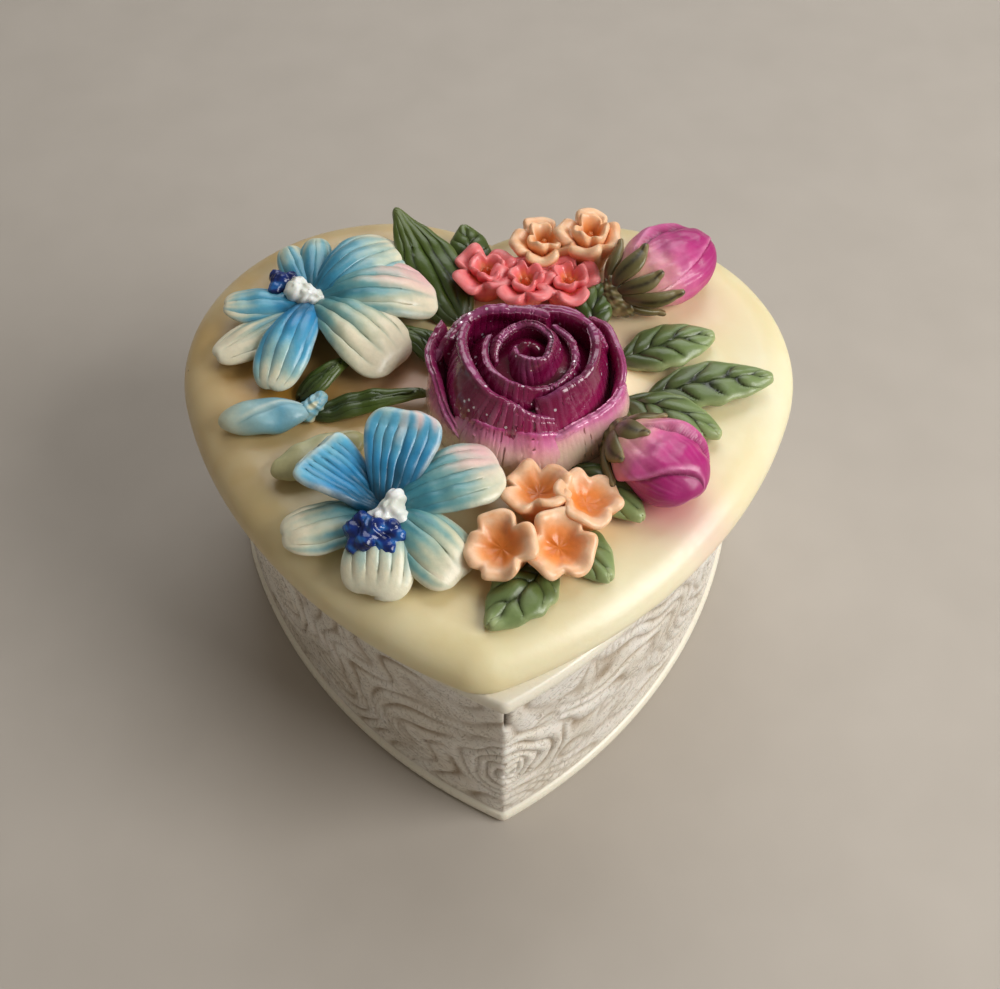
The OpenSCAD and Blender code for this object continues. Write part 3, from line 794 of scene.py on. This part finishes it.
def rose(middle):
    """The big rose: rolled heart, four main petals and six open ones, in three nodes."""
    paint = rose_paint()
    fill = rose_heart_fill([(10.0, 0.0), (9.9, 1.8), (9.4, 3.6), (8.6, 5.0), (7.4, 6.4), (6.2, 7.5),
                            (5.0, 8.2), (3.6, 8.8), (2.4, 9.3), (1.6, 10.0), (0.9, 10.6), (0.3, 10.8)])
    rolled = [
        (60, 560, 21, 1.5, 0.35, -0.1, (0.8, 4.2), 6.0, 0.0,
         (0, 0.6, 9.4), (0.3, 1.3, 10.6), (0.6, 2.6, 11.5), (0.85, 3.3, 11.0), (1, 3.7, 9.6)),
        (150, 420, 22, 1.3, 0.4, 0.05, (4.8, 5.2), 5.5, 0.0,
         (0, 5.0, 10.0), (0.2, 4.7, 10.0), (0.45, 4.4, 9.0), (0.7, 5.0, 9.2), (1, 5.2, 9.6))]
    main = [
        (138, 304, 23, 1.9, 1.0, 0.35, (7.4, 7.2), 2.0, 0.0,
         (0, 8.0, 9.8), (0.2, 6.8, 10.7), (0.42, 5.6, 10.0), (0.7, 5.4, 8.8), (0.9, 6.4, 7.4),
         (1, 7.0, 6.2)),
        (-78, 36, 24, 1.9, 1.2, 0.35, (6.8, 8.2), 2.0, 0.0,
         (0, 4.4, 8.4), (0.25, 5.2, 9.4), (0.6, 6.6, 10.0), (0.9, 8.2, 10.2), (1, 8.6, 9.6)),
        (18, 88, 25, 1.7, 0.8, 0.4, (8.4, 7.8), 2.0, 0.0,
         (0, 9.2, 8.0), (0.35, 9.0, 9.6), (0.75, 7.4, 10.3), (1, 6.8, 9.4)),
        (66, 162, 26, 1.8, 0.9, 0.4, (7.8, 8.6), 2.0, 0.0,
         (0, 6.2, 9.8), (0.25, 6.3, 10.6), (0.6, 7.6, 10.6), (1, 8.8, 9.8))]
    opened = [
        (146, 240, 27, 1.5, 0.2, 0.6, (11.0, 10.2), 0.0, 0.16,
         (0, 11.2, 7.4), (0.2, 11.3, 7.5), (0.45, 9.8, 6.6), (0.75, 9.8, 4.4), (1, 10.3, 1.8)),
        (214, 306, 28, 1.7, 0.6, 0.3, (9.8, 10.4), 0.0, 0.22,
         (0, 8.7, 5.0), (0.2, 8.6, 6.5), (0.5, 8.4, 6.6), (0.8, 8.9, 5.8), (1, 9.4, 4.8)),
        (-92, -8, 29, 1.7, 0.7, 0.35, (10.0, 10.8), 0.0, 0.34,
         (0, 8.8, 4.0), (0.2, 9.0, 5.6), (0.5, 9.6, 6.6), (0.85, 10.7, 7.2), (1, 11.0, 6.6)),
        (-34, 44, 30, 1.5, 0.1, 0.35, (10.8, 9.8), 0.0, 0.12,
         (0, 11.0, 3.0), (0.15, 11.1, 5.6), (0.45, 10.9, 8.0), (0.8, 10.4, 8.8), (1, 9.8, 7.6)),
        (30, 104, 31, 1.6, 0.5, 0.3, (9.6, 9.2), 0.0, 0.0,
         (0, 9.8, 6.4), (0.3, 9.3, 8.2), (0.6, 8.6, 8.2), (1, 8.6, 6.4)),
        (92, 172, 32, 1.6, 0.5, 0.3, (9.4, 9.9), 0.0, 0.0,
         (0, 8.9, 6.4), (0.4, 9.0, 7.9), (0.8, 9.8, 7.6), (1, 10.0, 6.2))]
    for name, petals, extra, node in (("rose_rolled_heart", rolled, [fill], "rose_core"),
                                      ("rose_main_petals", main, [], "rose_middle_petals"),
                                      ("rose_open_petals", opened, [], "rose_outer_petals")):
        part = merged([rose_petal(*petal_spec) for petal_spec in petals] + extra)
        make(name, seat(on_lid(part, middle), node, level=False), paint, "lid", node)


def lily(specs, seed):
    """Petals about one middle. Each: direction, length, width, arch, rise, height and petal() extras."""
    parts = [moved(petal(length, width, arch, rise, seed + i, **extra), (0.2, 0.0, 0.9 + layer), turn)
             for i, (turn, length, width, arch, rise, layer, extra) in enumerate(specs)]
    parts.append(moved(lumps([(0, 0, 0, 1.7), (1.0, 0.4, 0, 1.3)], seed + 20), (0, 0, 0.4)))
    return merged(parts)


def lumps(spots, seed):
    """A blob of paste from overlapping balls, as one lumpy skin."""
    bm = bmesh.new()
    for x, y, z, r in spots:
        made = bmesh.ops.create_icosphere(bm, subdivisions=3, radius=r * MM)
        bmesh.ops.translate(bm, verts=made["verts"], vec=(x * MM, y * MM, z * MM))
    mesh = bpy.data.meshes.new("lumps")
    bm.to_mesh(mesh)
    bm.free()
    obj = bpy.data.objects.new("lumps", mesh)
    bpy.context.scene.collection.objects.link(obj)
    remesh = obj.modifiers.new("skin", "REMESH")
    remesh.mode = "VOXEL"
    remesh.voxel_size = 0.16 * MM
    even = obj.modifiers.new("even", "SMOOTH")
    even.iterations = 3
    even.factor = 0.5
    solid = obj.evaluated_get(bpy.context.evaluated_depsgraph_get()).to_mesh()
    points = np.empty(len(solid.vertices) * 3)
    solid.vertices.foreach_get("co", points)
    points = points.reshape(-1, 3) / MM
    faces = [list(p.vertices) for p in solid.polygons]
    bpy.data.objects.remove(obj)
    away = points - points.mean(0)
    away /= np.linalg.norm(away, axis=1, keepdims=True) + 1e-9
    points = points + away * (0.1 * wave(points[:, 0] + points[:, 2], points[:, 1], 1.1, seed))[:, None]
    tone = np.clip(0.5 + 0.5 * wave(points[:, 0], points[:, 1] + points[:, 2], 2.0, seed + 1), 0, 1)
    return {"points": points, "faces": faces, "fields": {"along": tone}}


def trumpet(radius, height, seed, pinches, frill, depth, notch):
    """A trumpet blossom: a soft round mouth with a thick frilly rim over a full tube, hollow inside."""
    a = np.linspace(0, 2 * math.pi, 96, endpoint=False)[None, :]
    steps = [(0.0, 0.5, 0.0), (0.18, 0.6, 0.0), (0.4, 0.7, 0.1), (0.6, 0.82, 0.35), (0.76, 0.95, 0.7),
             (0.86, 1.04, 0.95), (0.95, 1.08, 1.0), (1.02, 1.02, 1.0), (1.04, 0.9, 1.0), (1.0, 0.77, 0.95),
             (0.92, 0.65, 0.8), (0.84, 0.54, 0.6), (0.77, 0.42, 0.4), (0.72, 0.28, 0.2),
             (1 - depth, 0.12, 0.1)]
    z_share, r_share, frilly = (np.array(c)[:, None] for c in zip(*steps))
    fold = 0.6 * np.cos((pinches - 1) * a + 2.3 * seed) + 0.5 * np.cos((pinches + 3) * a + seed)
    sharp = ridge(np.sin((pinches * a + seed) / 2), 0.0, 0.36)
    r = radius * r_share * (1 + frill * frilly * fold - notch * frilly * sharp)
    lift = 0.3 * np.sin(pinches * a + 1.7 * seed) - 2.2 * notch * sharp + 0.12 * np.sin(7 * a + seed)
    z = height * z_share + frilly * lift
    inside = (np.arange(len(steps)) > 7)[:, None] * np.ones_like(a)
    tube = 0.15 + 0.6 * smooth(r_share, 0.15, 0.8)
    along = np.where(inside > 0, tube, 0.3 + 0.6 * z_share) * np.ones_like(a)
    rim = ridge(z_share, 1.0, 0.1) * np.ones_like(a)
    groove = inside * (0.55 * (1 - smooth(r_share, 0.12, 0.5)) + 0.3 * frilly * sharp)
    points = np.stack([r * np.cos(a), r * np.sin(a), z], axis=2)
    return refine(points, along=along, rim=rim, groove=groove)


def full_blossom(radius, height, seed, petals):
    """A chunky blossom: a wide frilly trumpet with a second, narrower one standing in it."""
    outer = trumpet(radius, height * 0.92, seed, petals, frill=0.06, depth=0.25, notch=0.32)
    inner = trumpet(radius * 0.56, height, seed + 0.9, 3, frill=0.05, depth=0.15, notch=0.3)
    return merged([outer, moved(inner, (0.3, 0.2, 0.0))])


def refine(points, **fields):
    """Rings with two more between each two, on a smooth curve, as a closed solid."""
    n = len(points)
    fine = np.linspace(0, n - 1, 3 * (n - 1) + 1)
    low = np.clip(fine.astype(int), 0, n - 2)
    t = (fine - low)[:, None, None]
    p0, p1 = points[np.clip(low - 1, 0, n - 1)], points[low]
    p2, p3 = points[low + 1], points[np.clip(low + 2, 0, n - 1)]
    curve = 0.5 * (2 * p1 + (p2 - p0) * t + (2 * p0 - 5 * p1 + 4 * p2 - p3) * t ** 2
                   + (3 * p1 - p0 - 3 * p2 + p3) * t ** 3)
    t = t[..., 0]
    return loops(curve, **{k: v[low] * (1 - t) + v[low + 1] * t for k, v in fields.items()})


# ---------------------------------------------------------------- the posy

def placed(name, part, node, material, settled=True, nudge=(0.0, 0.0)):
    """Makes a piece of the posy; settled moves it to its CAD node's place, and nudge a little from there."""
    if settled:
        part = seat(part, node, nudge=nudge)
    make(name, part, material, "lid", node)


def leaves():
    """Every leaf: place, direction, length, width, arch, rise, height on the lid, lengthwise veins."""
    fresh = painted("leaf_olive", [(0.0, (62, 76, 34)), (0.4, (98, 118, 64)), (1.0, (132, 152, 96))],
                    (20, 26, 8), (172, 184, 130), groove=1.0, rim=0.75, blotch=0.3,
                    gloss=(0.28, 0.46), glow=0.02)
    dark = painted("leaf_dark", [(0.0, (40, 52, 10)), (0.5, (66, 86, 24)), (1.0, (92, 108, 44))],
                   (18, 28, 4), (122, 132, 76), groove=1.0, rim=0.35, gloss=(0.28, 0.46), glow=0.02)
    specs = (
        ("leaf_bud_upper", dark, (-21.9, 1.2), 42, 7.2, 2.7, 0.9, 1.6, 1.0, True),
        ("leaf_bud_long", dark, (-19.8, -1.0), 12, 12.8, 2.9, 0.8, 1.0, 0.8, True),
        ("leaf_rose_left", dark, (-5.0, 7.2), 147, 7.0, 3.8, 0.8, 1.0, 1.6, True),
        ("leaf_back_tall", dark, (-3.8, 14.2), 119, 17.5, 8.2, 1.0, 4.4, 0.9, True),
        ("leaf_back_small", dark, (-1.8, 21.6), 104, 7.4, 5.0, 0.9, 1.8, 1.0, False),
        ("leaf_rose_right", dark, (12.0, 11.6), 74, 6.5, 4.2, 0.9, 2.0, 1.6, False),
        ("leaf_right_upper", fresh, (16.4, 7.8), 17, 11.4, 6.6, 0.9, 1.0, 1.0, False),
        ("leaf_right_middle", fresh, (19.4, 2.3), 9, 14.6, 6.4, 0.9, 1.0, 1.0, False),
        ("leaf_right_lower", fresh, (16.4, 1.4), -28, 11.8, 5.8, 0.9, 1.0, 0.9, False),
        ("leaf_front_right", fresh, (10.1, -8.6), -46, 10.2, 5.8, 0.9, 1.0, 0.9, False),
        ("leaf_front_small", fresh, (8.6, -17.2), -52, 8.0, 5.2, 0.9, 0.4, 0.8, False),
        ("leaf_front_tip", fresh, (7.2, -22.0), -131, 9.9, 6.6, 0.9, 0.2, 0.9, False))
    for i, (node, material, at, turn, length, width, arch, rise, up, lengthwise) in enumerate(specs):
        part = leaf(length, width, arch, rise, 40 + i, 3 if length < 9 else 4, lengthwise)
        placed(node + "_veined", on_lid(part, at, turn, up), node, material, settled=False)


def lilies():
    """The two blue lilies with their white pistils and blue stamens."""
    blue = lily_paint()
    front = lily([
        (78, 10.4, 8.6, 1.0, 5.2, 0.4, dict(ribs=6, shade=-0.2, blush=-0.9, tint=0.15, cup=0.15, tip=0.26)),
        (22, 13.2, 8.6, 1.6, 2.6, 0.5,
         dict(ribs=5, shade=-0.02, tint=0.9, blush=0.9, droop=0.6, cup=0.55, tip=0.34)),
        (146, 9.6, 8.0, 0.2, 3.4, 0.6, dict(ribs=7, shade=-0.3, tip=0.14, cup=-0.3, curl=0.6, point=0.5)),
        (194, 11.4, 6.4, 1.0, 0.0, 0.0, dict(ribs=3, shade=0.18, tint=0.7)),
        (266, 9.2, 7.8, 1.9, 0.0, 0.3, dict(ribs=5, shade=0.2, droop=1.2, tint=0.5, point=0.9, tip=0.26)),
        (318, 11.2, 7.4, 1.9, 0.4, 0.2, dict(ribs=3, shade=0.06, droop=1.0, tint=1.0, curl=0.5, tip=0.3)),
    ], 60)
    front = on_lid(front, (-10.7, -15.5))
    placed("lily_front_ribbed_petals", front, "lily_front_petals", blue)
    back = lily([
        (46, 14.4, 8.8, 2.6, 1.6, 0.3, dict(shade=0.06, droop=1.4, tint=0.5, tip=0.34)),
        (8, 15.0, 9.0, 2.6, 1.2, 0.6, dict(shade=0.1, droop=1.6, tint=0.9, blush=0.9, tip=0.34)),
        (-40, 14.0, 9.0, 2.4, 0.6, 0.7, dict(shade=0.2, droop=1.2, tint=1.0, tip=0.3)),
        (253, 13.4, 6.6, 2.2, 0.4, 0.6, dict(droop=1.0, curl=0.4)),
        (216, 13.5, 5.4, 0.9, 0.0, 0.0, dict(ribs=3, shade=0.22, tint=0.8)),
        (182, 10.8, 5.2, 1.0, 0.8, 0.2, dict(ribs=3, tint=0.3)),
        (114, 10.4, 3.8, 0.9, 0.9, 0.2, dict(ribs=3, shade=-0.1, tint=0.5)),
        (93, 10.6, 4.0, 0.9, 1.4, 0.3, dict(ribs=3, shade=-0.15, tint=0.6)),
    ], 80)
    back = on_lid(back, (-21.1, 14.4))
    placed("lily_back_ribbed_petals", back, "lily_back_petals", blue)
    chalk = painted("pistil_white", [(0.0, (240, 242, 240)), (1.0, (214, 218, 206))],
                    (120, 96, 70), (250, 250, 250), groove=0.5, rim=0.2)
    ink = painted("stamen_blue", [(0.0, (10, 26, 78)), (0.6, (18, 48, 122)), (1.0, (38, 98, 168))],
                  (8, 14, 50), (60, 120, 180), groove=0.5, rim=0.3, gloss=(0.1, 0.2), glow=0.0)
    front_white = [(0, 0, 1.8, 1.5), (1.3, 0.2, 2.3, 1.5), (2.3, 0.9, 2.9, 1.15), (-0.9, 0.6, 1.7, 1.1),
                   (1.7, -0.9, 1.9, 1.0)]
    front_dots = [(0, 0, 0.4, 1.5), (-1.9, -1.5, -0.3, 1.0), (1.7, -1.9, -0.2, 0.9), (2.6, -0.5, 0.1, 0.9),
                  (-2.2, 0.3, 0.1, 1.1)]
    front_dots += [(1.9 * math.cos(k), 1.6 * math.sin(k), 0.2 + 0.3 * math.cos(3 * k), 1.05)
                   for k in (0.2, 1.2, 2.3, 3.3, 4.3, 5.3)]
    back_white = [(-0.9, 0, 1.1, 1.3), (0.3, 0, 1.4, 1.4), (1.5, 0, 1.8, 1.45), (2.8, 0.1, 2.3, 1.45),
                  (4.0, 0.6, 2.8, 1.3), (4.3, -0.6, 2.7, 1.1)]
    back_dots = [(0, 0, 0.2, 1.35), (1.2, 0.5, 0.5, 0.9), (-0.7, 1.0, 0.2, 0.95), (-0.5, -1.1, 0.1, 1.0)]
    for name, node, spots, seed, at, turn, up, material, slot in (
            ("lily_front_pistil_paste", "lily_front_pistil", front_white, 91, (-10.8, -18.4), 35, 2.5,
             chalk, "white_paint"),
            ("lily_front_stamen_cluster", "lily_front_stamens", front_dots, 93, (-11.6, -20.0), 0, 4.3,
             ink, "blue_paint"),
            ("lily_back_pistil_paste", "lily_back_pistil", back_white, 95, (-19.9, 13.6), 150, 1.9,
             chalk, "white_paint"),
            ("lily_back_stamen_tip", "lily_back_stamens", back_dots, 97, (-25.6, 16.9), 0, 4.0,
             ink, "blue_paint")):
        placed(name, on_lid(lumps(spots, seed), at, turn, up), node, material, settled=False)


def buds():
    """The two lily buds, the two rose buds and their calyxes."""
    blue = painted("bud_blue", [(0.0, (206, 206, 176)), (0.35, (150, 184, 184)), (0.7, (108, 168, 190)),
                                (1.0, (150, 188, 196))], (90, 130, 140), (214, 218, 200), groove=0.5)
    cream = painted("bud_cream", [(0.0, (188, 182, 132)), (0.5, (198, 196, 152)), (1.0, (176, 170, 118))],
                    (140, 128, 76), (220, 214, 180), groove=0.5)
    knob = lumps([(0.8, 0, 1.3, 1.25), (1.9, 0.1, 1.6, 1.2), (2.9, 0.2, 2.0, 0.85)], 103)
    for name, node, part, at, turn, material, slot in (
            ("lily_bud_blue_rolled", "lily_bud_blue", bud(10.5, 4.6, 3.4, 101, folds=2), (-31, -3.2), 9,
             blue, "lily_paint"),
            ("lily_bud_blue_knob_paste", "lily_bud_blue_knob", knob, (-21.8, -1.8), 40,
             blue, "lily_paint"),
            ("lily_bud_cream_rolled", "lily_bud_cream", bud(11.5, 4.8, 3.0, 105, folds=2), (-24, -10.4), 28,
             cream, "cream_paint")):
        placed(name, on_lid(part, at, turn), node, material)
    pink = painted("rosebud_pink", [(0.0, (226, 190, 150)), (0.25, (226, 156, 160)), (0.46, (208, 92, 148)),
                                    (0.66, (184, 40, 122)), (1.0, (164, 28, 108))], (104, 8, 58),
                   (222, 130, 176), groove=0.9, rim=0.7, glow=0.06)
    rose_buds = (
        ("rose_bud_back", (16.2, 16.9), 38, (14.5, 10.0, 7.4), 107, 0.75, 4,
         ((35, 34, 0.3), (80, 36, 0.34), (122, 32, 0.28), (160, 34, 0.38), (205, 30, 0.25))),
        ("rose_bud_front", (15.6, -6.2), -44, (11.8, 10.0, 7.0), 109, 1.3, 3,
         ((50, 38, 0.28), (92, 40, 0.34), (134, 42, 0.32), (176, 40, 0.36), (215, 38, 0.3))))
    for node, at, turn, size, seed, twist, folds, _ in rose_buds:
        part = bud(*size, seed, twist=twist, folds=folds, depth=0.9, streaks=1.0)
        placed(node + "_wrapped", on_lid(part, at, turn), node, pink)
    moss = painted("calyx_olive", [(0.0, (76, 62, 30)), (0.5, (104, 98, 56)), (1.0, (140, 124, 84))],
                   (32, 24, 8), (160, 152, 108), groove=0.9, rim=0.3, glow=0.02)
    for node, at, turn, size, *_, sepals in rose_buds:
        parts = [sepal(size, around, spread, reach) for around, spread, reach in sepals]
        parts.append(lumps([(-0.9, 0, 2.8, 2.2), (-0.2, 0.8, 3.8, 1.7), (-0.2, -1.2, 2.6, 1.8)], 131))
        part = on_lid(merged(parts), at, turn)
        placed(node + "_calyx_sepals", part, node + "_calyx", moss, settled=False)


def blossoms():
    """Four trumpet blossoms in front of the rose and five fuller ones behind it."""
    peach = painted("blossom_peach", [(0.0, (212, 118, 28)), (0.3, (236, 142, 66)), (0.65, (241, 164, 102)),
                                      (1.0, (246, 190, 140))], (200, 98, 10), (250, 220, 188),
                    groove=0.85, rim=0.6, glow=0.2)
    pink = painted("blossom_pink", [(0.0, (196, 80, 24)), (0.35, (236, 126, 78)), (0.65, (228, 90, 100)),
                                    (1.0, (234, 116, 122))], (190, 72, 14), (240, 150, 146),
                   groove=0.75, rim=0.6, blotch=0.36, glow=0.2)
    for i, (node, at, pitch, roll) in enumerate((
            ("blossom_front_upper", (6.0, -14.4), 8, -12), ("blossom_front_right", (10.0, -15.9), -14, -8),
            ("blossom_front_left", (2.6, -20.3), 14, 14), ("blossom_front_lower", (7.4, -20.0), -8, 16))):
        part = trumpet(3.75, 4.7, 1.3 * i + 0.4, 3 if i % 2 else 4, frill=0.07, depth=0.3, notch=0.24)
        part = on_lid(part, at, pitch=pitch, roll=roll)
        placed(node + "_trumpet", part, node, peach)
    for i, (node, at, height, tone) in enumerate((
            ("blossom_back_pink_left", (-1.0, 21.4), 4.6, pink),
            ("blossom_back_pink_middle", (3.8, 19.4), 4.8, pink),
            ("blossom_back_pink_right", (9.2, 19.6), 4.6, pink),
            ("blossom_back_orange_left", (6.2, 24.8), 5.8, peach),
            ("blossom_back_orange_right", (11.8, 25.2), 6.8, peach))):
        part = on_lid(full_blossom(3.9, height, 0.9 * i + 0.2, 5 if i == 1 else 4), at)
        slot, back = ("pink_blossom_paint", -1.2) if tone is pink else ("peach_blossom_paint", -0.6)
        placed(node + "_full", part, node, tone, nudge=(0.0, back))


# ---------------------------------------------------------------- stage

def camera():
    """Above and in front of the box, looking down at it, as in the photograph."""
    data = bpy.data.cameras.new("camera")
    data.lens = CAMERA_LENS
    data.sensor_width = 36
    data.clip_start = 0.01
    obj = bpy.data.objects.new("camera", data)
    bpy.context.scene.collection.objects.link(obj)
    obj.location = CAMERA_AT
    heading = Matrix.Rotation(math.radians(CAMERA_HEADING), 3, "Z")
    tilt = Matrix.Rotation(math.radians(90 - CAMERA_DOWN), 3, "X")
    roll = Matrix.Rotation(math.radians(CAMERA_ROLL), 3, "Z")
    obj.rotation_euler = (heading @ tilt @ roll).to_euler()
    bpy.context.scene.camera = obj


def lamp(name, at, size, power, tone):
    """A square soft light that faces the box."""
    data = bpy.data.lights.new(name, "AREA")
    data.size = size
    data.energy = power
    data.color = tone
    obj = bpy.data.objects.new(name, data)
    bpy.context.scene.collection.objects.link(obj)
    obj.location = at
    obj.rotation_euler = (Vector(at) - Vector(LAMP_TARGET)).to_track_quat("Z", "Y").to_euler()


def studio():
    """Pale floor, soft daylight from the right and behind, weak fill from the left."""
    mesh = bpy.data.meshes.new("floor")
    corners = [(-FLOOR_HALF, -FLOOR_HALF, 0), (FLOOR_HALF, -FLOOR_HALF, 0),
               (FLOOR_HALF, FLOOR_HALF, 0), (-FLOOR_HALF, FLOOR_HALF, 0)]
    mesh.from_pydata(corners, [], [(0, 1, 2, 3)])
    s = Shader("pale_floor")
    s.put(s.skin.inputs["Base Color"], s.mix(s.noise(14.0, detail=2), (176, 168, 158), (186, 178, 168)))
    s.skin.inputs["Roughness"].default_value = 0.7
    mesh.materials.append(s.material)
    floor = bpy.data.objects.new("floor", mesh)
    bpy.context.scene.collection.objects.link(floor)
    lamp("window", (0.34, -0.13, 0.28), 0.28, 1.85, (1.0, 0.985, 0.96))
    lamp("sky", (0.08, 0.42, 0.48), 0.5, 1.8, (0.96, 0.98, 1.0))
    lamp("fill", (-0.5, -0.35, 0.4), 0.6, 0.12, (1.0, 0.9, 0.76))
    world = bpy.data.worlds.new("world")
    world.use_nodes = True
    background = world.node_tree.nodes["Background"].inputs
    background["Color"].default_value = (1.0, 0.9, 0.78, 1)
    background["Strength"].default_value = 0.17
    bpy.context.scene.world = world
    bpy.context.scene.view_settings.view_transform = "Standard"


camera()
studio()
box_body()
lid_plate()
leaves()
lilies()
buds()
blossoms()
rose(ROSE_AT)
